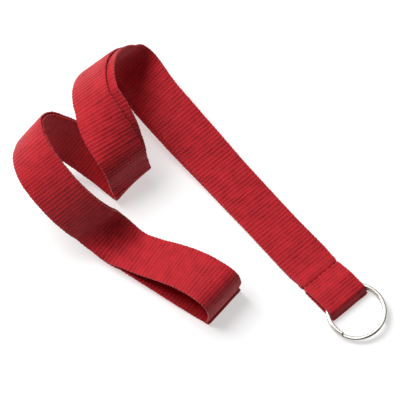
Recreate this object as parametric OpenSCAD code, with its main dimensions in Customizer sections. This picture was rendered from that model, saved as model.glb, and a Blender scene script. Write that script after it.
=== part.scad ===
// Neck lanyard: one strip of ribbed webbing, doubled and lying in a loose coil,
// with a split ring in its sewn end. Millimetres, +Z up, origin on the table
// under the middle of the ring; the strap leaves the ring along +Y.

/* [Webbing] */
// Width of the webbing
web_w = 19; // [18:0.5:20]
// Thickness of one layer of webbing
web_t = 0.9; // [0.7:0.05:0.95]
// Distance between the middles of two layers that lie together
layer_pitch = 1; // [1:0.05:1.1]

/* [Sewn end] */
// Width of the sewn end, drawn in a little by its stitches
end_w = 18; // [17:0.5:19]
// Distance from the middle of the ring to the outside of the fold round it
fold_y = 3.6; // [3.2:0.1:3.7]
// Distance from the fold to the row of stitches
stitch_from_fold = 17.4; // [16.5:0.1:18]
// Length of one stitch
stitch_len = 2.4; // [2:0.1:3]
// Thickness of the sewing thread
thread_d = 0.4; // [0.3:0.05:0.5]

/* [Split ring] */
// Outside diameter of the ring
ring_od = 24; // [23.8:0.1:25]
// Width of the wire, measured along the ring's radius
ring_wire_w = 1.5; // [1.3:0.1:1.6]
// Thickness of one turn of the wire
ring_turn_h = 1.25; // [1:0.05:1.3]
// Gap between the two turns
ring_gap = 0.1; // [0.05:0.05:0.2]

/* [Far end] */
// Height of the open fold at the far end of the neck loop
bulb_h = 15; // [12:0.5:17]
// Length of the rise towards the top of the open fold
bulb_rise = 42; // [36:1:46]
// Length of the nose beyond the top of the open fold
bulb_nose = 6; // [5:0.5:8]
// How far out of square the crease lies, as millimetres along for each
// millimetre across
crease_skew = 0.16; // [0:0.01:0.2]

/* [Hidden] */

webbing_red = "#b52f3c";
thread_red = "#8f1f2c";
nickel = "#c9ccce";

// The way the doubled strap runs, from the fold at the ring to the far end.
// Webbing bends about its width and twists about its length, never sideways,
// so each stretch is [length, bend in degrees, twist in degrees, steps].
RUNS = [
    [23, 0, 0, 8],        //  0 sewn end, flat on the table
    [29, 4, -1, 10],      //  1 near run, along the table
    [49, 6, 6, 17],       //  2 near run, beginning to lift
    [26, -13, 22, 9],     //  3 near run, turning on to its left edge
    [17, 86, 28, 8],      //  4 top arch, up and over
    [35, 86, -1, 12],     //  5 top arch, coming forward
    [21, 42, 43, 6],      //  6 drop, upper half
    [10, 44, 3, 7],       //  7 drop, lower half
    [10, -14, 2, 3],      //  8 drop, down to the table
    [4, 125, 22, 14],     //  9 corner, folded on the table
    [11, 12, 20, 4],      // 10 back run, under the arch
    [29, 25, 21, 11],     // 11 back run, rising to the left
    [13, 75, -5, 8],      // 12 left arch, up and over
    [20, 60, 17, 11],     // 13 left arch, coming forward
    [31, 54, 5, 11],      // 14 fall, down towards the table
    [21, -60, 52, 10],    // 15 far run, flattening out
    [43, -3, -11, 9]      // 16 far run, along the table
];
run_count = len(RUNS);

end_len = RUNS[0][0];
hinge_y = fold_y + end_len;
// A hinge in fabric needs room for two layers to turn about their middle
hinge_room = layer_pitch + 0.3;
end_stop_y = hinge_y - hinge_room;
stitch_y = fold_y + stitch_from_fold;

ring_r = ring_od / 2;
ring_bore_r = ring_r - ring_wire_w;
ring_h = 2 * ring_turn_h + ring_gap;
pocket_room = 0.3;
pocket_r = ring_h / 2 + pocket_room;
fold_r = pocket_r + web_t;
ring_mid_z = fold_r;
ring_low_z = ring_mid_z - ring_h / 2;

// One short step along the strap: s is [place, along, across]
function step_on(s, len, bend, twist) =
    let (n0 = cross(s[2], s[1]))
    let (place = s[0] + (s[1] * cos(bend / 2) + n0 * sin(bend / 2)) * len)
    let (along = s[1] * cos(bend) + n0 * sin(bend))
    let (n1 = cross(s[2], along))
    [place, along, s[2] * cos(twist) + n1 * sin(twist)];

STEPS = [for (r = RUNS) for (k = [1:r[3]]) [r[0] / r[3], r[1] / r[3], r[2] / r[3]]];
step_count = len(STEPS);
START = [[0, fold_y, layer_pitch], [0, 1, 0], [1, 0, 0]];
PATH = [
    for (i = 0, s = START; i <= step_count;
         s = i < step_count ? step_on(s, STEPS[i][0], STEPS[i][1], STEPS[i][2]) : s,
         i = i + 1) s
];
DIST = [
    for (i = 0, d = 0; i <= step_count;
         d = i < step_count ? d + STEPS[i][0] : d, i = i + 1) d
];
function first_step(run) = run == 0 ? 0 : first_step(run - 1) + RUNS[run - 1][3];
function run_start(run) = run == 0 ? 0 : run_start(run - 1) + RUNS[run - 1][0];
strap_len = run_start(run_count);

// A smooth change from 0 to 1 between two distances along the strap
function ramp(d, from, to) =
    let (t = max(0, min(1, (d - from) / (to - from))))
    t * t * (3 - 2 * t);

// Where the layers slip sideways on each other, over the top arch: how far,
// and how long before or after a run's start the slip begins and ends
inner_slip_max = 3.8;
inner_slip_lead = 14;
outer_slip_max = -1.5;
outer_slip_lead = 10;
outer_slip_tail = 8;
function inner_slip(d) =
    inner_slip_max
        * ramp(d, run_start(4) - inner_slip_lead, run_start(5))
        * (1 - ramp(d, run_start(6), run_start(9)));
function outer_slip(d) =
    outer_slip_max
        * ramp(d, run_start(2), run_start(4) - outer_slip_lead)
        * (1 - ramp(d, run_start(4) - outer_slip_lead, run_start(5) + outer_slip_tail));

// The crease at the far end isn't quite square to the strap: the webbing leans
// into it over its last stretch
lean_len = 24;
function lean(d) = crease_skew * ramp(d, strap_len - lean_len, strap_len);

// The four corners of a layer at one place: up is its distance from the middle
// of the pair on the coil's inner side, slip its shift across the strap
function corners(s, up, slip, skew) =
    let (n = cross(s[2], s[1]))
    let (mid = s[0] + n * up + s[2] * slip)
    [for (c = [[-1, -1], [1, -1], [1, 1], [-1, 1]])
        mid + (s[2] + s[1] * skew) * (c[0] * web_w / 2) + n * (c[1] * web_t / 2)];

// A closed strip through rings of four corners
module strip(rings) {
    n = len(rings);
    sides = [for (i = [0:n - 2]) for (k = [0:3])
        let (a = 4 * i + k, b = 4 * i + (k + 1) % 4)
        each [[a, b, b + 4], [a, b + 4, a + 4]]];
    caps = [[3, 2, 1], [3, 1, 0],
            [4 * n - 4, 4 * n - 3, 4 * n - 2], [4 * n - 4, 4 * n - 2, 4 * n - 1]];
    color(webbing_red)
        polyhedron(points = [for (r = rings) each r], faces = concat(sides, caps));
}

// One layer of the strap from the start of one run to the start of another
module layer(from_run, to_run, side) {
    strip([for (i = [first_step(from_run):first_step(to_run)])
        corners(PATH[i], side * layer_pitch / 2,
                side > 0 ? inner_slip(DIST[i]) : outer_slip(DIST[i]), lean(DIST[i]))]);
}

// How gently the open fold starts to rise, and how blunt its nose is
rise_power = 1.8;
nose_power = 0.6;
// Height of the open fold above the pair, x past the start of its rise
function rise_h(x) = bulb_h * pow(sin(90 * x / bulb_rise), rise_power);
// Place along the far run, between two steps
function at_dist(d) =
    let (i = min(step_count - 1, max([for (k = [0:step_count]) DIST[k] <= d ? k : 0])))
    let (f = (d - DIST[i]) / (DIST[i + 1] - DIST[i]))
    [for (k = [0:2]) PATH[i][k] * (1 - f) + PATH[i + 1][k] * f];
bulb_start = strap_len - bulb_rise - bulb_nose;
bulb_top = strap_len - bulb_nose;

// A point of the open fold's middle line as [distance along, height]
function rise_point(u) = [bulb_start + bulb_rise * u, rise_h(bulb_rise * u)];
function nose_point(a) =
    [bulb_top + bulb_nose * pow(sin(a), nose_power), bulb_h * pow(cos(a), nose_power)];

// The four corners across the open fold, square to its middle line
function bulb_corners(here, before, after) =
    let (s = at_dist(min(here[0], strap_len - 0.01)))
    let (n = cross(s[2], s[1]))
    let (slope = (after - before) / norm(after - before))
    let (mid = s[0] - n * (layer_pitch / 2 + here[1]))
    let (out = -n * slope[0] - s[1] * slope[1])
    [for (c = [[-1, 1], [1, 1], [1, -1], [-1, -1]])
        mid + (s[2] + s[1] * lean(here[0])) * (c[0] * web_w / 2) + out * (c[1] * web_t / 2)];
module bulb_strip(points) {
    last = len(points) - 1;
    strip([for (i = [0:last])
        bulb_corners(points[i], points[max(0, i - 1)], points[min(last, i + 1)])]);
}

// A flat outline in the Y-Z plane, carried across the sewn end
module across_end(w) {
    rotate([90, 0, 90])
        linear_extrude(height = w, center = true)
            children();
}

// ---- Split ring: one wire wound in two turns ----
module turn(low_z, from_a, span, trim) {
    translate([0, 0, low_z])
        rotate([0, 0, from_a])
            rotate_extrude(angle = span, $fn = 96)
                translate([ring_bore_r + trim, 0])
                    square([ring_wire_w - 2 * trim, ring_turn_h]);
}
module split_ring() {
    // The wire climbs from one turn to the next in one short step, where it is
    // a little narrower
    climb = (ring_turn_h + ring_gap) / 2;
    climb_trim = 0.1;
    lower_start = 250;
    lower_span = 341;
    climb_start = 228;
    climb_span = 22;
    upper_start = 247;
    upper_span = 338;
    color(nickel) {
        turn(ring_low_z, lower_start, lower_span, 0);
        turn(ring_low_z + climb, climb_start, climb_span, climb_trim);
        turn(ring_low_z + 2 * climb, upper_start, upper_span, 0);
    }
}

// ---- Sewn end: the webbing folded round the ring and stitched ----
// Where the flat stitched layers begin, ahead of the stitches, and where the
// fold starts to close, past the outside of the ring
flat_from = stitch_y - 3;
close_from = ring_r + 1;
module fold_outline() {
    // Round the ring, closing from the pocket down to the three flat layers
    flat_low = 2 * layer_pitch;
    difference() {
        union() {
            translate([fold_y + fold_r, fold_r])
                circle(r = fold_r, $fn = 64);
            polygon([
                [fold_y + fold_r, 0], [flat_from, 0], [flat_from, flat_low + web_t],
                [close_from, 2 * fold_r], [fold_y + fold_r, 2 * fold_r]
            ]);
        }
        translate([fold_y + fold_r, fold_r])
            circle(r = pocket_r, $fn = 64);
        polygon([
            [fold_y + fold_r, web_t], [flat_from + 0.5, web_t], [flat_from + 0.5, flat_low],
            [close_from, web_t + 2 * pocket_r], [fold_y + fold_r, web_t + 2 * pocket_r]
        ]);
    }
}
module end_fold() {
    color(webbing_red)
        across_end(end_w)
            fold_outline();
}
under_flap_len = 4.8;
module end_under_flap() {
    // The webbing's own end, folded back under the strap; the stitches pull
    // their thread up into it
    color(webbing_red)
        across_end(end_w)
            difference() {
                translate([flat_from, 0])
                    square([under_flap_len, web_t]);
                translate([stitch_y - thread_d / 2, -thread_d])
                    square([thread_d, 2 * thread_d]);
            }
}
// A layer that steps down from its place in the stitched stack
module stepped_layer(from_y, stack_z, strap_z) {
    step_y = stitch_y + 2;
    across_end(end_w)
        polygon([
            [from_y, stack_z], [step_y, stack_z], [end_stop_y - 0.5, strap_z],
            [end_stop_y, strap_z], [end_stop_y, strap_z + web_t],
            [end_stop_y - 0.4, strap_z + web_t], [step_y + 0.1, stack_z + web_t],
            [from_y, stack_z + web_t]
        ]);
}
module end_inner_layer() {
    color(webbing_red)
        stepped_layer(flat_from, 2 * layer_pitch, 1.5 * layer_pitch - web_t / 2);
}
module end_outer_layer() {
    color(webbing_red)
        stepped_layer(flat_from + 1, layer_pitch, 0.5 * layer_pitch - web_t / 2);
}

// ---- Lock stitches: a bead of thread between each pair of needle holes ----
// The share of each stitch that shows as a bead, and the plain margin at
// each end of the row
bead_share = 0.8;
row_margin = 1;
stitch_count = floor((end_w - 2 * row_margin) / stitch_len);
module stitch_row(z) {
    color(thread_red)
        for (k = [0:stitch_count - 1])
            translate([(k - (stitch_count - 1) / 2) * stitch_len, stitch_y, z])
                rotate([0, 90, 0])
                    cylinder(h = stitch_len * bead_share, d = thread_d, center = true, $fn = 16);
}
module needle_thread() { stitch_row(2 * layer_pitch + web_t + thread_d / 2); }
module bobbin_thread() { stitch_row(thread_d / 2); }

// ---- The strap, run by run: inner layer, then outer layer ----
module inner_near_run() { layer(1, 4, 1); }
module inner_top_arch() { layer(4, 6, 1); }
module inner_drop() { layer(6, 9, 1); }
module inner_corner() { layer(9, 10, 1); }
module inner_back_run() { layer(10, 12, 1); }
module inner_left_arch() { layer(12, 14, 1); }
module inner_fall() { layer(14, 15, 1); }
module inner_far_run() { layer(15, run_count, 1); }
module outer_near_run() { layer(1, 4, -1); }
module outer_top_arch() { layer(4, 6, -1); }
module outer_drop() { layer(6, 9, -1); }
module outer_corner() { layer(9, 10, -1); }
module outer_back_run() { layer(10, 12, -1); }
module outer_left_arch() { layer(12, 14, -1); }
module outer_fall() { layer(14, 15, -1); }

// The outer layer runs on until the far fold opens
join_gap = 0.15;
function steps_before(d) = max([for (k = [0:step_count]) DIST[k] < d ? k : 0]);
module outer_far_run() {
    strip(concat(
        [for (i = [first_step(15):steps_before(bulb_start - join_gap)])
            corners(PATH[i], -layer_pitch / 2, outer_slip(DIST[i]), lean(DIST[i]))],
        [corners(at_dist(bulb_start - join_gap), -layer_pitch / 2, 0, 0)]));
}
module far_bulb_rise() { bulb_strip([for (k = [0:12]) rise_point(k / 12)]); }
module far_bulb_nose() { bulb_strip([for (k = [0:12]) nose_point(90 * k / 12)]); }

split_ring();
end_fold();
end_under_flap();
end_inner_layer();
end_outer_layer();
needle_thread();
bobbin_thread();
inner_near_run();
inner_top_arch();
inner_drop();
inner_corner();
inner_back_run();
inner_left_arch();
inner_fall();
inner_far_run();
outer_near_run();
outer_top_arch();
outer_drop();
outer_corner();
outer_back_run();
outer_left_arch();
outer_fall();
outer_far_run();
far_bulb_rise();
far_bulb_nose();
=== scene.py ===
# %% [markdown]
# # A neck lanyard
# The real object is four things: one strip of ribbed webbing, a split ring, and the
# two threads of one row of lock stitches. The strip is folded in half, both halves
# lie against each other in a loose coil, and one end is folded round the ring and sewn.
# The CAD model gives every place and size. This script makes each piece again in
# the finish that the eye expects, around that fixed frame.

# %% Load the frame
import math
import bpy
import numpy as np
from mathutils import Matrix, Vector


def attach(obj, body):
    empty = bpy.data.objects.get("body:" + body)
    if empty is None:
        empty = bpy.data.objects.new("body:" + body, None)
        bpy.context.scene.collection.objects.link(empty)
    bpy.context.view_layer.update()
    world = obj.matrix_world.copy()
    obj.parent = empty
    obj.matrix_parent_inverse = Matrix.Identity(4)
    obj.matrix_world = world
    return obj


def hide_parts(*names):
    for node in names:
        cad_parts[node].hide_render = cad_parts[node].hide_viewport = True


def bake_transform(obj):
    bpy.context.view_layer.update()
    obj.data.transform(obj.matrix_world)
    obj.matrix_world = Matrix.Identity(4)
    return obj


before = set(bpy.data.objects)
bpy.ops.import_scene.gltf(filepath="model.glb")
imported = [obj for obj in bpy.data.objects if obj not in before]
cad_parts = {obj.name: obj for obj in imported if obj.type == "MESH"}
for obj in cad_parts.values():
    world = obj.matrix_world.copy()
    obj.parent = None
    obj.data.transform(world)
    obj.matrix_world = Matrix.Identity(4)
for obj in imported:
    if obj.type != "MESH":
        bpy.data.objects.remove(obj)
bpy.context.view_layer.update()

MM = 0.001

# %% [markdown]
# ## Camera
# A long lens far away keeps the strap's width nearly the same all along the coil. A
# short lens close by would swell whatever is nearest. The camera looks down steeply,
# from the ring's side.

# %% Camera
CAMERA_TARGET = Vector((-19.6, 71.1, 18.75)) * MM
CAMERA_AZIMUTH, CAMERA_ELEVATION = math.radians(-41), math.radians(65)
CAMERA_DISTANCE = 855 * MM
LENS_MM, SIGHT_LIMIT = 195.1, 10

towards_camera = Vector((
    math.sin(CAMERA_AZIMUTH) * math.cos(CAMERA_ELEVATION),
    -math.cos(CAMERA_AZIMUTH) * math.cos(CAMERA_ELEVATION),
    math.sin(CAMERA_ELEVATION)))
camera_data = bpy.data.cameras.new("studio_camera")
camera_data.lens = LENS_MM
camera_data.clip_end = SIGHT_LIMIT
camera = bpy.data.objects.new("studio_camera", camera_data)
camera.location = CAMERA_TARGET + towards_camera * CAMERA_DISTANCE
camera.rotation_euler = (-towards_camera).to_track_quat("-Z", "Y").to_euler()
bpy.context.scene.collection.objects.link(camera)
bpy.context.scene.camera = camera
print(f"camera {CAMERA_DISTANCE:.3f} m from the middle of the coil")

# %% [markdown]
# ## Colours and nodes
# Colours are picked as sRGB hex, the way a colour card gives them, and the shader
# needs them linear. One small function adds a node, sets it and links it.

# %% Helpers for materials
def linear(hex_colour):
    """An sRGB hex colour as the linear numbers that a shader takes."""
    parts = [int(hex_colour[i:i + 2], 16) / 255 for i in (1, 3, 5)]
    return tuple(c / 12.92 if c <= 0.04045 else ((c + 0.055) / 1.055) ** 2.4
                 for c in parts) + (1.0,)


def add_node(material, kind, settings=None, inputs=None):
    """A node with its settings; an input is a value, or another node's socket to link."""
    node = material.node_tree.nodes.new(kind)
    for name, value in (settings or {}).items():
        setattr(node, name, value)
    for name, value in (inputs or {}).items():
        if isinstance(value, bpy.types.NodeSocket):
            material.node_tree.links.new(value, node.inputs[name])
        else:
            node.inputs[name].default_value = value
    return node


def new_material(name):
    """A new material and its main shader."""
    material = bpy.data.materials.new(name)
    material.use_nodes = True
    return material, material.node_tree.nodes["Principled BSDF"]

# %% [markdown]
# ## The way the strap runs
# Webbing bends about its width and twists about its length, but it never bends
# sideways. A free curve with a ribbon on it could be drawn by hand, but it would bend
# sideways somewhere. So the path is a list of stretches, each with a length, a bend
# and a twist, walked in short steps. These are the CAD model's own stretches.

# %% The path of the doubled strap
WEB_WIDTH, LAYER_PITCH, FOLD_Y = 19, 1.0, 3.6
RUNS = [
    # length, bend, twist, steps
    (23, 0, 0, 8), (29, 4, -1, 10), (49, 6, 6, 17), (26, -13, 22, 9),      # near run
    (17, 86, 28, 8), (35, 86, -1, 12),                                     # top arch
    (21, 42, 43, 6), (10, 44, 3, 7), (10, -14, 2, 3), (4, 125, 22, 14),    # drop, corner
    (11, 12, 20, 4), (29, 25, 21, 11), (13, 75, -5, 8), (20, 60, 17, 11),  # back, left arch
    (31, 54, 5, 11), (21, -60, 52, 10), (43, -3, -11, 9),                  # fall, far run
]


def walk_strap():
    """Stations on the strap: distance, place, direction along and direction across."""
    place, along, across = Vector((0, FOLD_Y, LAYER_PITCH)), Vector((0, 1, 0)), Vector((1, 0, 0))
    distance, stations = 0.0, [(0.0, place, along, across)]
    for length, bend, twist, steps in RUNS:
        step = length / steps
        turn, roll = math.radians(bend / steps), math.radians(twist / steps)
        for _ in range(steps):
            normal = across.cross(along)
            place = place + (along * math.cos(turn / 2) + normal * math.sin(turn / 2)) * step
            along = along * math.cos(turn) + normal * math.sin(turn)
            across = across * math.cos(roll) + across.cross(along) * math.sin(roll)
            distance += step
            stations.append((distance, place, along, across))
    return stations


STATIONS = walk_strap()
STRAP_LENGTH = STATIONS[-1][0]
print(f"doubled strap {STRAP_LENGTH:.0f} mm long in {len(STATIONS) - 1} steps")

# %% [markdown]
# Between two stations the strap follows a smooth curve that leaves each station
# along the webbing, so the finished piece shows no facets.

# %% A point anywhere along the strap
station_distance = np.array([station[0] for station in STATIONS])


def strap_at(distance):
    """Place, direction along and direction across, at a distance from the ring's fold."""
    passed = np.searchsorted(station_distance, distance, side="right") - 1
    i = int(np.clip(passed, 0, len(STATIONS) - 2))
    d0, p0, a0, w0 = STATIONS[i]
    d1, p1, a1, w1 = STATIONS[i + 1]
    gap = d1 - d0
    t = (distance - d0) / gap
    place = (p0 * (2 * t**3 - 3 * t**2 + 1) + a0 * gap * (t**3 - 2 * t**2 + t)
             + p1 * (3 * t**2 - 2 * t**3) + a1 * gap * (t**3 - t**2))
    return place, a0.lerp(a1, t).normalized(), w0.lerp(w1, t).normalized()

# %% [markdown]
# The two layers are only sewn at the ring, so over the top arch they slip sideways
# on each other, and the outer one stands a little clear of the inner one. Each of
# these comes and goes smoothly, between the starts of two stretches.

# %% Where each layer lies
LONG_RUN, TOP_ARCH, CREST, DROP, LOW_DROP, CORNER = 2, 4, 5, 6, 7, 9  # stretches, by number
INNER_SLIP, INNER_LEAD = 3.8, 14
OUTER_SLIP, OUTER_LEAD, OUTER_TAIL = -1.5, 10, 8
OUTER_LIFT = 0.45


def run_start(number):
    """Distance along the strap where a stretch begins."""
    return sum(run[0] for run in RUNS[:number])


def ease(share):
    """A smooth 0 to 1 from an even 0 to 1, for one number or an array."""
    share = np.clip(share, 0, 1)
    return share * share * (3 - 2 * share)


def ramp(distance, start, end):
    """A smooth change from 0 to 1 between two distances."""
    return float(ease((distance - start) / (end - start)))


def swell(distance, rise_from, rise_to, fall_from, fall_to):
    """Up smoothly from 0 to 1, and down again."""
    return ramp(distance, rise_from, rise_to) * (1 - ramp(distance, fall_from, fall_to))


def layer_at(distance, side):
    """Middle of one layer: side 1 is inside the coil, side -1 outside."""
    place, along, across = strap_at(distance)
    arch, crest, drop, corner = (run_start(n) for n in (TOP_ARCH, CREST, DROP, CORNER))
    if side > 0:
        slip = INNER_SLIP * swell(distance, arch - INNER_LEAD, crest, drop, corner)
        lift = 0.0
    else:
        middle = arch - OUTER_LEAD
        slip = OUTER_SLIP * swell(distance, run_start(LONG_RUN), middle, middle, crest + OUTER_TAIL)
        lift = OUTER_LIFT * swell(distance, crest, drop, run_start(LOW_DROP), corner)
    out = side * across.cross(along)
    return place + out * (LAYER_PITCH / 2 + lift) + across * slip, across


print(f"top arch from {run_start(TOP_ARCH)} to {run_start(DROP)} mm along the strap")

# %% [markdown]
# ## One strip, end to end
# The webbing is one strip. It starts under the stitches, goes out along the outer
# layer, rises into the open fold at the far end, comes back along the inner layer,
# goes round the ring, and ends under the stitches again. So its middle line is drawn
# in that order, as a list of points, and each point keeps the direction across.

# %% Points of the sewn end
X_ACROSS = Vector((1, 0, 0))
STITCH_Y = 21.0
POINTS_PER_CORNER = 6


def smooth_line(corners):
    """Points on a smooth curve through (y, z) corners of the sewn end."""
    pts = [Vector((0, y, z)) for y, z in corners]
    pts = [2 * pts[0] - pts[1]] + pts + [2 * pts[-1] - pts[-2]]
    line = []
    for a, b, c, d in zip(pts, pts[1:], pts[2:], pts[3:]):
        for t in (k / POINTS_PER_CORNER for k in range(POINTS_PER_CORNER)):
            line.append(0.5 * ((2 * b) + (c - a) * t + (2 * a - 5 * b + 4 * c - d) * t**2
                               + (3 * b - a - 3 * c + d) * t**3))
    return line + [pts[-2]]


outer_start = smooth_line([(19.0, 1.42), (21.0, 1.36), (23.0, 1.3), (24.8, 0.72), (26.6, 0.5)])
ring_end = smooth_line([
    (26.6, 1.5), (24.8, 1.7), (23.0, 2.2), (21.0, 2.28), (19.0, 2.5), (16.8, 3.2), (14.6, 4.0),
    (12.6, 4.45), (9.2, 4.5), (6.7, 4.5), (5.35, 4.3), (4.6, 3.6), (4.4, 2.8), (4.25, 2.1),
    (3.95, 1.75), (3.55, 1.5), (3.35, 1.05), (3.6, 0.65), (4.3, 0.45), (6.9, 0.45), (9.4, 0.45),
    (14.4, 0.45), (19.0, 0.45), (21.0, 0.5), (23.5, 0.45)])
print(f"sewn end: {len(outer_start)} and {len(ring_end)} points")

# %% [markdown]
# At the far end the outer layer leaves the pair, rises into a soft open fold, comes
# down steeply, and is creased flat where it turns back. Bending webbing keeps its
# curve even, so the nose is drawn with two smooth curves and a small round crease.

# %% Points of the far open fold
BULB_HEIGHT, BULB_RISE, BULB_NOSE, RISE_POWER = 15, 42, 6, 1.8
TIP_PAST, WALL_IN, WALL_HEIGHT = 0.2, 0.3, 6.5
FOOT_IN, FOOT_HEIGHT, CREASE_R = 0.7, 0.1, 0.62
RISE_POINTS, NOSE_POINTS, LIP_POINTS, CREASE_POINTS = 30, 24, 16, 8
bulb_start = STRAP_LENGTH - BULB_RISE - BULB_NOSE


def shares(count):
    """Even steps up to and including 1."""
    return [k / count for k in range(1, count + 1)]


def bezier(a, b, c, d, count):
    """Points of a curve from a to d that leaves towards b and arrives from c."""
    return [a * (1 - t)**3 + b * 3 * t * (1 - t)**2 + c * 3 * t**2 * (1 - t) + d * t**3
            for t in shares(count)]


def far_fold_profile():
    """(distance along, height above the outer layer) of the open fold's middle line."""
    rise = [Vector((bulb_start + BULB_RISE * t,
                    BULB_HEIGHT * math.sin(math.pi / 2 * t) ** RISE_POWER, 0))
            for t in [0, *shares(RISE_POINTS)]]
    tip, top = STRAP_LENGTH + TIP_PAST, rise[-1]
    wall = Vector((tip - WALL_IN, WALL_HEIGHT, 0))
    foot = Vector((tip - FOOT_IN, FOOT_HEIGHT, 0))
    nose = bezier(top, top + Vector((4.6, 0, 0)), wall + Vector((0, 4.5, 0)), wall, NOSE_POINTS)
    lip = bezier(wall, wall - Vector((0.1, 4.4, 0)), foot - Vector((1.2, -0.5, 0)), foot,
                 LIP_POINTS)
    crease = [foot + CREASE_R * Vector((math.sin(math.pi * t), math.cos(math.pi * t) - 1, 0))
              for t in shares(CREASE_POINTS)]
    return rise + nose + lip + crease


far_profile = far_fold_profile()
print(f"far fold: {len(far_profile)} points, {BULB_HEIGHT} mm high")

# %% [markdown]
# Now the parts are joined in the strip's own order. The points are far apart in some
# places and close in others, so the line is walked again in even steps, five to a
# rib, and smoothed a little, which takes out the joins between stretches.

# %% The whole middle line
LINE_STEP = 0.5
OUTER_LEAVES, INNER_ARRIVES, INNER_TIP_GAP = 27, 26.6, 2.2
CREASE_SKEW, LEAN_LENGTH = 0.16, 24


def lean(distance):
    """How far out of square the strip is, as it leans into the crease."""
    return CREASE_SKEW * ramp(distance, STRAP_LENGTH - LEAN_LENGTH, STRAP_LENGTH)


def webbing_line():
    """The strip's middle line, as pairs of a place and the direction across."""
    line = [(p, X_ACROSS) for p in outer_start]
    line += [layer_at(d, -1) for d in np.arange(OUTER_LEAVES, bulb_start, LINE_STEP)]
    for distance, height, _ in far_profile:
        inside = min(distance, STRAP_LENGTH - 0.01)
        place, along, across = strap_at(inside)
        line.append((place + across.cross(along) * -(LAYER_PITCH / 2 + height)
                     + along * (distance - inside), across + along * lean(inside)))
    for distance in np.arange(STRAP_LENGTH - INNER_TIP_GAP, INNER_ARRIVES, -LINE_STEP):
        middle, across = layer_at(distance, 1)
        line.append((middle, across + strap_at(distance)[1] * lean(distance)))
    return line + [(p, X_ACROSS) for p in ring_end]


joined_line = webbing_line()
print(f"middle line of {len(joined_line)} points")

# %% The same line, evenly spaced
RIB_PITCH, ROWS_PER_RIB = 1.5, 5
SMOOTH_PASSES, SMOOTH_SHARE = 6, 0.25


def evenly(line, spacing):
    """The line with its points a fixed distance apart, as arrays of places and across."""
    places = np.array([p for p, _ in line])
    across = np.array([a for _, a in line])
    steps = np.linalg.norm(np.diff(places, axis=0), axis=1)
    reach = np.concatenate([[0], np.cumsum(steps)])
    keep = np.concatenate([[True], steps > 1e-6])
    count = int(round(reach[-1] / spacing))
    marks = np.linspace(0, reach[-1], count + 1)
    places, across, reach = places[keep], across[keep], reach[keep]
    at = [np.interp(marks, reach, places[:, k]) for k in range(3)]
    wide = [np.interp(marks, reach, across[:, k]) for k in range(3)]
    return np.stack(at, axis=1), np.stack(wide, axis=1), marks


row_place, row_across, row_mark = evenly(joined_line, RIB_PITCH / ROWS_PER_RIB)
for _ in range(SMOOTH_PASSES):
    row_place[1:-1] += SMOOTH_SHARE * (row_place[2:] + row_place[:-2] - 2 * row_place[1:-1])

# %% [markdown]
# ## The webbing
# Real webbing is woven: the weft lies across it in fat cords, and the warp goes over
# and under them, which gives the ribs. A cloth simulation could drop a strip into a
# coil, but it would not land where the real one lies. So a flat grid starts as the
# strip on the bench, is laid along the middle line, and gets its thickness from
# Solidify. The ribs are geometry, pushed out on both faces, so they shade truly.

# %% A flat grid, one row for each fifth of a rib
COLUMNS = 10
bpy.ops.object.select_all(action="DESELECT")
bpy.ops.mesh.primitive_grid_add(x_subdivisions=COLUMNS, y_subdivisions=len(row_mark) - 1, size=1)
webbing = bpy.context.object
webbing.name = webbing.data.name = "lanyard_webbing"
flat = np.empty(len(webbing.data.vertices) * 3)
webbing.data.vertices.foreach_get("co", flat)
flat = flat.reshape(-1, 3)
column = np.rint((flat[:, 0] + 0.5) * COLUMNS).astype(int)
row = np.rint((flat[:, 1] + 0.5) * (len(row_mark) - 1)).astype(int)
print(f"grid of {len(flat)} vertices")

# %% [markdown]
# The stitches pull the webbing in, and it stays a little narrower round the ring,
# where the folding has worked it. The pull is found from where the strip crosses
# the stitch row: it does so three times, once for each layer there.

# %% Half the width, row by row
# Columns crowd towards the selvedges, where the strip is thin and round
CROWDING = 1.32
spread = np.sin(np.linspace(-1, 1, COLUMNS + 1) * CROWDING) / math.sin(CROWDING)
STITCHED_LAYERS = ((1, 1.8), (1.8, 2.8), (0, 0.9))  # lowest and highest z of each layer
PULL_REACH, PULL_IN = 1.6, 0.45
TAB_END, TAB_FADE, TAB_IN = 29.4, 6, 0.45
in_line = np.abs(row_place[:, 0]) < 1  # the rows in line with the ring


def near(mark, centre, reach):
    """1 at a place along the strip, falling smoothly to 0 at reach on each side of it."""
    return ease(1 - np.abs(mark - centre) / reach)


def stitch_mark(low_z, high_z):
    """Where the strip crosses the stitch row between two heights."""
    y, z = row_place[:, 1], row_place[:, 2]
    crosses = in_line & (np.abs(y - STITCH_Y) < 0.2) & (z > low_z) & (z < high_z)
    return float(np.mean(row_mark[crosses]))


stitched = [stitch_mark(low, high) for low, high in STITCHED_LAYERS]
pull = sum(near(row_mark, mark, PULL_REACH) for mark in stitched)
in_tab = np.clip((TAB_END - row_place[:, 1]) / TAB_FADE, 0, 1) * in_line
half_width = WEB_WIDTH / 2 - TAB_IN * in_tab - PULL_IN * pull
print(f"stitch row crosses the strip at {', '.join(f'{m:.1f}' for m in stitched)} mm")

# %% Ribs, row by row
# The weft is not beaten up evenly: each rib is a little wider or narrower than the next
RIB_LEAST, RIB_MOST, SPARE_RIBS, RIB_FULLNESS = 0.78, 1.22, 40, 0.8
chance = np.random.default_rng(7)
rib_count = int(row_mark[-1] / RIB_PITCH) + SPARE_RIBS
rib_edges = np.cumsum(RIB_PITCH * chance.uniform(RIB_LEAST, RIB_MOST, rib_count))
phase = np.interp(row_mark, rib_edges, np.arange(len(rib_edges)))
rib = np.abs(np.cos(np.pi * phase)) ** RIB_FULLNESS
print(f"{phase[-1]:.0f} ribs along the strip")

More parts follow.
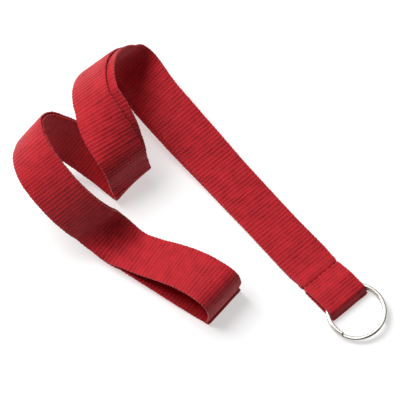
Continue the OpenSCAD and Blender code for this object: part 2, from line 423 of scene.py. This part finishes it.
# %% Lay the grid along the line
# No strip is woven dead straight, so it wavers sideways: 0.12 mm over each 107 mm of its
# length, and 0.06 mm over each 33 mm
waver = 0.12 * np.sin(row_mark / 17) + 0.06 * np.sin(row_mark / 5.3 + 2)
sideways = spread[column] * half_width[row] + waver[row]
placed = row_place[row] + row_across[row] * sideways[:, None]
webbing.data.vertices.foreach_set("co", (placed * MM).ravel())
cloth_map = webbing.data.uv_layers.active or webbing.data.uv_layers.new()
cloth_map.name = "cloth"
corner_vertex = np.empty(len(webbing.data.loops), int)
webbing.data.loops.foreach_get("vertex_index", corner_vertex)
cloth_u = spread[column][corner_vertex] * WEB_WIDTH / 2 * MM
cloth_v = (phase * RIB_PITCH)[row][corner_vertex] * MM
cloth_map.data.foreach_set("uv", np.stack([cloth_u, cloth_v], axis=1).ravel())
webbing.data.update()
print("grid laid along the coil")

# %% [markdown]
# Two vertex groups tell the modifiers how thick the strip is and how high each rib
# stands. The strip thins towards its selvedges and under the stitches.

# %% Thickness, then ribs on both faces
BARE_THICKNESS, RIB_HEIGHT, WEIGHT_LEVELS = 0.62, 0.31, 60
BODY_PRESS, RIB_PRESS, CORD_LEAST = 0.25, 0.7, 0.25
edge_share = np.interp(np.abs(spread[column]), [0, 0.93, 1], [1, 0.92, 0.45])
pressed_in = np.clip(pull, 0, 1)[row]
thickness_group = webbing.vertex_groups.new(name="thickness")
rib_group = webbing.vertex_groups.new(name="ribs")
# Along one rib the cord also swells and thins
cord = chance.uniform(CORD_LEAST, 1, (len(rib_edges) + 1, COLUMNS + 3))
cord = (cord[:, :-2] + 2 * cord[:, 1:-1] + cord[:, 2:]) / 4
rib_number = np.rint(phase).astype(int)[row]
rib_share = rib[row] * cord[rib_number, column] * (1 - RIB_PRESS * pressed_in)
body_share = edge_share * (1 - BODY_PRESS * pressed_in)
for group, weights in ((thickness_group, body_share), (rib_group, rib_share)):
    steps = np.rint(weights * WEIGHT_LEVELS).astype(int)
    for step in np.unique(steps):
        group.add(np.nonzero(steps == step)[0].tolist(), step / WEIGHT_LEVELS, "REPLACE")

solidify = webbing.modifiers.new("webbing_thickness", "SOLIDIFY")
solidify.thickness, solidify.offset = BARE_THICKNESS * MM, 0
solidify.vertex_group, solidify.use_rim = "thickness", True
ribs = webbing.modifiers.new("ribs", "DISPLACE")
ribs.direction, ribs.mid_level, ribs.strength = "NORMAL", 0, RIB_HEIGHT * MM
ribs.vertex_group = "ribs"
for modifier in ("webbing_thickness", "ribs"):
    bpy.ops.object.modifier_apply(modifier=modifier)
bpy.ops.object.shade_smooth_by_angle(angle=math.radians(55))
print(f"webbing: {len(webbing.data.polygons)} faces")

# %% [markdown]
# ### Polyester webbing
# Bright red filament polyester: a soft sheen on the ribs, dark between them where the light gets
# lost, which the colour paints in as painted shade, and warp ends that cross each rib in turn like
# tiny bricks. A picture of cloth could be wrapped on, but waves and noise in real millimetres stay
# sharp at any size and follow the strip through every bend.

# %% Material: ribbed polyester webbing
WARP_END = 0.6  # mm, coarser than real warp ends, so that they show
polyester, shader = new_material("ribbed_polyester_webbing")
cloth = add_node(polyester, "ShaderNodeUVMap", {"uv_map": "cloth"})
apart = add_node(polyester, "ShaderNodeSeparateXYZ", inputs={"Vector": cloth.outputs["UV"]})
# Half a turn of the wave for each 1.5 mm rib
rib_turn = add_node(polyester, "ShaderNodeMath", {"operation": "MULTIPLY"},
                    {0: apart.outputs["Y"], 1: math.pi / (RIB_PITCH * MM)})
rib_wave = add_node(polyester, "ShaderNodeMath", {"operation": "COSINE"}, {0: rib_turn.outputs[0]})
rib_up = add_node(polyester, "ShaderNodeMath", {"operation": "ABSOLUTE"}, {0: rib_wave.outputs[0]})
# The warp ends move half a pitch on each rib, because the rib's wave changes sign there
warp_turn = add_node(polyester, "ShaderNodeMath", {"operation": "MULTIPLY"},
                     {0: apart.outputs["X"], 1: math.pi / (WARP_END * MM)})
warp_wave = add_node(polyester, "ShaderNodeMath", {"operation": "SINE"}, {0: warp_turn.outputs[0]})
warp_sign = add_node(polyester, "ShaderNodeMath", {"operation": "MULTIPLY"},
                     {0: warp_wave.outputs[0], 1: rib_wave.outputs[0]})
# Loose fibres about 1 mm long, and uneven dye in blotches 4 mm wide
fibres = add_node(polyester, "ShaderNodeTexNoise", {"noise_dimensions": "3D"},
                  {"Scale": 900.0, "Detail": 3.0, "Roughness": 0.6})
uneven = add_node(polyester, "ShaderNodeTexNoise", {"noise_dimensions": "3D"},
                  {"Scale": 250.0, "Detail": 2.0, "Roughness": 0.6})
cloth_place = add_node(polyester, "ShaderNodeTexCoord")
for noise in (fibres, uneven):
    polyester.node_tree.links.new(cloth_place.outputs["Object"], noise.inputs["Vector"])
print(f"warp ends {WARP_END} mm, ribs {RIB_PITCH} mm")

# %% Its colour, with painted shade between the ribs
# The colour is darker in the valleys between the ribs: painted shade where the light gets lost. The
# dye blotches also break these dark lines into dashes
dye_and_valley_mask = add_node(polyester, "ShaderNodeMath", {"operation": "MULTIPLY_ADD"},
                  {0: uneven.outputs["Fac"], 1: 0.9, 2: rib_up.outputs[0]})
valley_shade_and_dye = add_node(polyester, "ShaderNodeValToRGB", inputs={"Fac": dye_and_valley_mask.outputs[0]})
red = valley_shade_and_dye.color_ramp
# The dark end is painted shade in the rib valleys; the bright end is the dye on the crests
red.elements[0].position, red.elements[0].color = 0.4, linear("#7c0812")
red.elements[1].position, red.elements[1].color = 0.85, linear("#b8202a")
warp_shade = add_node(polyester, "ShaderNodeMapRange", inputs={
    "Value": warp_sign.outputs[0], "From Min": -1.0, "From Max": 1.0,
    "To Min": 0.88, "To Max": 1.08})
dye_shade = add_node(polyester, "ShaderNodeMapRange", inputs={
    "Value": uneven.outputs["Fac"], "From Min": 0.3, "From Max": 0.7,
    "To Min": 0.9, "To Max": 1.08})
shade = add_node(polyester, "ShaderNodeMath", {"operation": "MULTIPLY"},
                 {0: warp_shade.outputs[0], 1: dye_shade.outputs[0]})
tinted = add_node(polyester, "ShaderNodeMix", {"data_type": "RGBA", "blend_type": "MULTIPLY"},
                  {"Factor": 1.0, "A": valley_shade_and_dye.outputs["Color"]})
polyester.node_tree.links.new(shade.outputs[0], tinted.inputs["B"])
polyester.node_tree.links.new(tinted.outputs["Result"], shader.inputs["Base Color"])
print(f"{len(polyester.node_tree.nodes)} nodes so far")

# %% Its relief and sheen
relief_sum = add_node(polyester, "ShaderNodeMath", {"operation": "MULTIPLY_ADD"},
                      {0: fibres.outputs["Fac"], 1: 0.5, 2: warp_sign.outputs[0]})
relief = add_node(polyester, "ShaderNodeBump", inputs={
    "Height": relief_sum.outputs[0], "Strength": 0.5, "Distance": 0.06 * MM})
polyester.node_tree.links.new(relief.outputs["Normal"], shader.inputs["Normal"])
shader.inputs["Roughness"].default_value = 0.62
shader.inputs["Specular IOR Level"].default_value = 0.1
shader.inputs["Sheen Weight"].default_value = 0.3
shader.inputs["Sheen Roughness"].default_value = 0.5
shader.inputs["Sheen Tint"].default_value = linear("#ffd8d8")
webbing.data.materials.append(polyester)
print("material", polyester.name)

# %% [markdown]
# ### How the webbing belongs to the frame
# The strap and the sewn end are two bodies with a hinge between them, and cloth can't
# tear there. The webbing is not attached to either body: it is baked in place as one piece, and the
# CAD nodes it stands for are hidden.

# %% Webbing: the nodes it stands for
webbing_nodes = [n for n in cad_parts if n.startswith(("inner_", "outer_", "far_", "end_"))]
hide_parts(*webbing_nodes)
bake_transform(webbing)
print(f"webbing stands for {len(webbing_nodes)} nodes")

# %% [markdown]
# ## Split ring
# A split ring is one wire wound nearly twice and pressed together, so that its turns
# almost touch. This wire is a little wider than it is high, with well rounded corners.
# A torus for each turn would be quicker, but it has no free ends and no climb from one
# turn to the other. So the ring is made as the real one is: the wire's section is
# wound as a long open spring with the Screw modifier, and then pressed flat.

# %% Wire section
RING_MID_R, WIRE_W, WIRE_H, RING_GAP = 11.25, 1.5, 1.25, 0.1
RING_MID_Z = 2.5
WIRE_CORNER_R = 0.4
bpy.ops.object.select_all(action="DESELECT")
bpy.ops.mesh.primitive_plane_add(size=1, rotation=(math.pi / 2, 0, 0))
ring = bpy.context.object
ring.name = ring.data.name = "nickel_split_ring"
bpy.ops.object.transform_apply(location=True, rotation=True, scale=True)
bpy.ops.object.mode_set(mode="EDIT")
bpy.ops.mesh.select_all(action="SELECT")
bpy.ops.transform.resize(value=(WIRE_W * MM, 1, WIRE_H * MM))
bpy.ops.mesh.bevel(offset=WIRE_CORNER_R * MM, segments=5, affect="VERTICES")
bpy.ops.mesh.select_all(action="SELECT")
bpy.ops.transform.translate(value=(RING_MID_R * MM, 0, 0))
bpy.ops.mesh.delete(type="ONLY_FACE")
bpy.ops.object.mode_set(mode="OBJECT")
print(f"wire section of {len(ring.data.vertices)} points")

# %% Wind it as an open spring
WIRE_TURN, SPRING_PITCH, WINDING_STEPS = 620, 10, 186
winding = ring.modifiers.new("winding", "SCREW")
winding.angle, winding.screw_offset = math.radians(WIRE_TURN), SPRING_PITCH * MM
winding.steps = winding.render_steps = WINDING_STEPS
winding.use_merge_vertices = False
bpy.ops.object.modifier_apply(modifier="winding")
co = np.empty(len(ring.data.vertices) * 3)
ring.data.vertices.foreach_get("co", co)
co = co.reshape(-1, 3) / MM
print(f"spring {np.ptp(co[:, 2]):.1f} mm tall")

# %% [markdown]
# Pressing it needs to know how far round the wire each point is. Its height on the
# open spring says which turn it is on, and its angle says the rest. Each point then
# keeps its place in the wire's section and moves down or up to its turn, with a
# smooth climb between the two.

# %% Press it flat
WIRE_START, CLIMB_FROM, CLIMB_TO = 300, 563, 653
rough_turn = co[:, 2] * WIRE_TURN / SPRING_PITCH
angle = np.degrees(np.arctan2(co[:, 1], co[:, 0]))
turned = angle + 360 * np.rint((rough_turn - angle) / 360)
section_z = co[:, 2] - turned * SPRING_PITCH / WIRE_TURN
wire_at = turned + WIRE_START
climb = ease((wire_at - CLIMB_FROM) / (CLIMB_TO - CLIMB_FROM))
turn_z = (climb - 0.5) * (WIRE_H + RING_GAP)
radius = np.hypot(co[:, 0], co[:, 1])
pressed = np.stack([
    radius * np.cos(np.radians(wire_at)), radius * np.sin(np.radians(wire_at)),
    section_z + turn_z + RING_MID_Z], axis=1)
ring.data.vertices.foreach_set("co", (pressed * MM).ravel())
ring.data.update()
print(f"ring {np.ptp(pressed[:, 0]):.1f} mm across, {np.ptp(pressed[:, 2]):.2f} mm thick")

# %% Close and soften the two cut ends
CUT_SOFTENING = 0.12
bpy.ops.object.mode_set(mode="EDIT")
bpy.ops.mesh.select_all(action="DESELECT")
bpy.ops.mesh.select_mode(type="EDGE")
bpy.ops.mesh.select_non_manifold(extend=False)
bpy.ops.mesh.fill_holes(sides=0)
bpy.ops.mesh.select_all(action="SELECT")
bpy.ops.mesh.normals_make_consistent(inside=False)
bpy.ops.object.mode_set(mode="OBJECT")
soften = ring.modifiers.new("cut_ends", "BEVEL")
soften.width, soften.segments, soften.limit_method = CUT_SOFTENING * MM, 2, "ANGLE"
soften.angle_limit = math.radians(60)
bpy.ops.object.modifier_apply(modifier="cut_ends")
bpy.ops.object.shade_smooth_by_angle(angle=math.radians(40))
print(f"ring: {len(ring.data.polygons)} faces")

# %% [markdown]
# ### Bright nickel plate
# Steel wire, tumbled and nickel plated: a clean mirror, a little warm. Handling leaves
# patches a few millimetres wide that are duller than the rest, and fine scuffs that
# break the reflections up.

# %% Material: nickel-plated steel
nickel, shader = new_material("nickel_plated_steel")
ring_place = add_node(nickel, "ShaderNodeTexCoord")
# Scuffs about 0.7 mm apart and dull patches about 5.6 mm wide
scuffs = add_node(nickel, "ShaderNodeTexNoise", {"noise_dimensions": "3D"}, {
    "Vector": ring_place.outputs["Object"], "Scale": 1500.0, "Detail": 4.0, "Roughness": 0.65})
handled = add_node(nickel, "ShaderNodeTexNoise", {"noise_dimensions": "3D"}, {
    "Vector": ring_place.outputs["Object"], "Scale": 180.0, "Detail": 2.0})
roughness = add_node(nickel, "ShaderNodeMapRange", inputs={
    "Value": handled.outputs["Fac"], "From Min": 0.3, "From Max": 0.7,
    "To Min": 0.1, "To Max": 0.24})
relief = add_node(nickel, "ShaderNodeBump", inputs={
    "Height": scuffs.outputs["Fac"], "Strength": 0.25, "Distance": 0.01 * MM})
nickel.node_tree.links.new(roughness.outputs[0], shader.inputs["Roughness"])
nickel.node_tree.links.new(relief.outputs["Normal"], shader.inputs["Normal"])
shader.inputs["Base Color"].default_value = linear("#dcd8d0")
shader.inputs["Metallic"].default_value = 1.0
ring.data.materials.append(nickel)
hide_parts("split_ring")
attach(ring, "split_ring")
print("material", nickel.name)

# %% [markdown]
# ## Lock stitches
# A sewing machine locks two threads, one on each face. Each stitch is a short bead
# that dives into the webbing at both ends. A bump in the material would do for a
# distant view, but beads catch the light and stand up in the outline. Each is a small
# sphere, drawn out to the stitch's length and bent down at its ends, and the row of
# them is joined into one piece.

# %% A row of stitches
STITCH_COUNT, STITCH_LENGTH, THREAD = 7, 2.4, 0.42
BEAD_SHARE, DIVE = 0.98, 0.3
WANDER, WANDER_TURN = 0.12, 2.4  # each bead is a little out of line with the next


def stitch_row(name, z, up):
    """One thread's beads along X at the stitch row; up is 1 for the upper face, -1 below."""
    bpy.ops.object.select_all(action="DESELECT")
    made = []
    for k in range(STITCH_COUNT):
        x = (k - (STITCH_COUNT - 1) / 2) * STITCH_LENGTH
        bpy.ops.mesh.primitive_uv_sphere_add(
            segments=12, ring_count=8, radius=THREAD / 2 * MM, rotation=(0, math.pi / 2, 0))
        bead = bpy.context.object
        bpy.ops.object.transform_apply(location=True, rotation=True, scale=True)
        for v in bead.data.vertices:
            v.co.x *= STITCH_LENGTH * BEAD_SHARE / THREAD
            v.co.z -= up * (abs(v.co.x) / (STITCH_LENGTH / 2 * MM)) ** 2 * DIVE * MM
            v.co += Vector((x, STITCH_Y + WANDER * math.sin(WANDER_TURN * k), z)) * MM
        made.append(bead)
    for bead in made:
        bead.select_set(True)
    bpy.context.view_layer.objects.active = made[0]
    bpy.ops.object.join()
    row_of = bpy.context.object
    row_of.name = row_of.data.name = name
    bpy.ops.object.transform_apply(location=True, rotation=True, scale=True)
    bpy.ops.object.shade_smooth()
    return row_of


TOP_LAYER_Z, BOBBIN_Z = 2.28, 0.24
needle_row = stitch_row("needle_thread_stitches", TOP_LAYER_Z + THREAD, 1)
bobbin_row = stitch_row("bobbin_thread_stitches", BOBBIN_Z, -1)
print(f"{STITCH_COUNT} stitches on each face")

# %% [markdown]
# ### Sewing thread
# Spun polyester thread in the webbing's red: matt, and two plies slant across it.

# %% Material: spun polyester thread
thread, shader = new_material("spun_polyester_thread")
thread_place = add_node(thread, "ShaderNodeTexCoord")
# The plies of the thread, about 0.28 mm apart, slant across it
plies = add_node(thread, "ShaderNodeTexWave",
                 {"wave_type": "BANDS", "bands_direction": "DIAGONAL"},
                 {"Vector": thread_place.outputs["Object"], "Scale": 1300.0,
                  "Distortion": 1.0, "Detail": 1.0})
twist_colour = add_node(thread, "ShaderNodeValToRGB", inputs={"Fac": plies.outputs["Fac"]})
twist_colour.color_ramp.elements[0].color = linear("#74070f")
twist_colour.color_ramp.elements[1].color = linear("#a8121c")
relief = add_node(thread, "ShaderNodeBump", inputs={
    "Height": plies.outputs["Fac"], "Strength": 0.6, "Distance": 0.05 * MM})
thread.node_tree.links.new(twist_colour.outputs["Color"], shader.inputs["Base Color"])
thread.node_tree.links.new(relief.outputs["Normal"], shader.inputs["Normal"])
shader.inputs["Roughness"].default_value = 0.7
shader.inputs["Specular IOR Level"].default_value = 0.15
for row_of, node_name in ((needle_row, "needle_thread"), (bobbin_row, "bobbin_thread")):
    row_of.data.materials.append(thread)
    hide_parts(node_name)
    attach(row_of, "sewn_end")
print("material", thread.name)

# %% [markdown]
# ## Floor and light
# The table is pale and is given a glow of its own, painted light that keeps the
# shadows on it faint and lights the strap from below. A white table under lamps alone would keep
# them dark, because the lamps that make it bright also make the shadows.

# %% Floor
TABLE_SIZE, TABLE_GLOW = 4, 0.55
bpy.ops.object.select_all(action="DESELECT")
bpy.ops.mesh.primitive_plane_add(size=TABLE_SIZE, location=(0, 0, 0))
floor = bpy.context.object
floor.name = "pale_table"
paint, shader = new_material("glowing_fill_table")
grain = add_node(paint, "ShaderNodeTexNoise", inputs={"Scale": 40.0, "Detail": 2.0})
grain_tone = add_node(paint, "ShaderNodeMapRange", inputs={
    "Value": grain.outputs["Fac"], "To Min": 0.5, "To Max": 0.52})
paint.node_tree.links.new(grain_tone.outputs[0], shader.inputs["Base Color"])
shader.inputs["Roughness"].default_value = 0.8
# Painted light: the table glows though it is no lamp
shader.inputs["Emission Color"].default_value = linear("#ffffff")
shader.inputs["Emission Strength"].default_value = TABLE_GLOW
floor.data.materials.append(paint)
print(f"table {TABLE_SIZE} m wide, glowing at {TABLE_GLOW}")

# %% [markdown]
# A big soft window light, high on the camera's left and beyond the coil, does most
# of the work, because light from one side brings out the ribs. A weak card above and
# beyond it lifts the faces that lean away, and the world adds a trace from all round.

# %% Lights
picture_right = Vector((math.cos(CAMERA_AZIMUTH), math.sin(CAMERA_AZIMUTH), 0))
picture_up = towards_camera.cross(picture_right)


def area_light(name, right, up, out, side, watts):
    """A square light, placed from the coil's middle in the camera's directions, in metres."""
    data = bpy.data.lights.new(name, "AREA")
    data.shape, data.size, data.energy = "SQUARE", side, watts
    light = bpy.data.objects.new(name, data)
    light.location = CAMERA_TARGET + picture_right * right + picture_up * up + towards_camera * out
    light.rotation_euler = (CAMERA_TARGET - light.location).to_track_quat("-Z", "Y").to_euler()
    bpy.context.scene.collection.objects.link(light)


area_light("window_light", -0.6, 0.75, 0.72, side=0.7, watts=18.5)
area_light("ceiling_card", 0, 0.92, 0.77, side=0.6, watts=1.8)
WORLD_GLOW = 0.03
world = bpy.data.worlds.new("studio")
world.use_nodes = True
background = world.node_tree.nodes["Background"]
background.inputs["Color"].default_value = linear("#ffffff")
background.inputs["Strength"].default_value = WORLD_GLOW
bpy.context.scene.world = world
bpy.context.scene.view_settings.view_transform = "Standard"
print("lights placed")
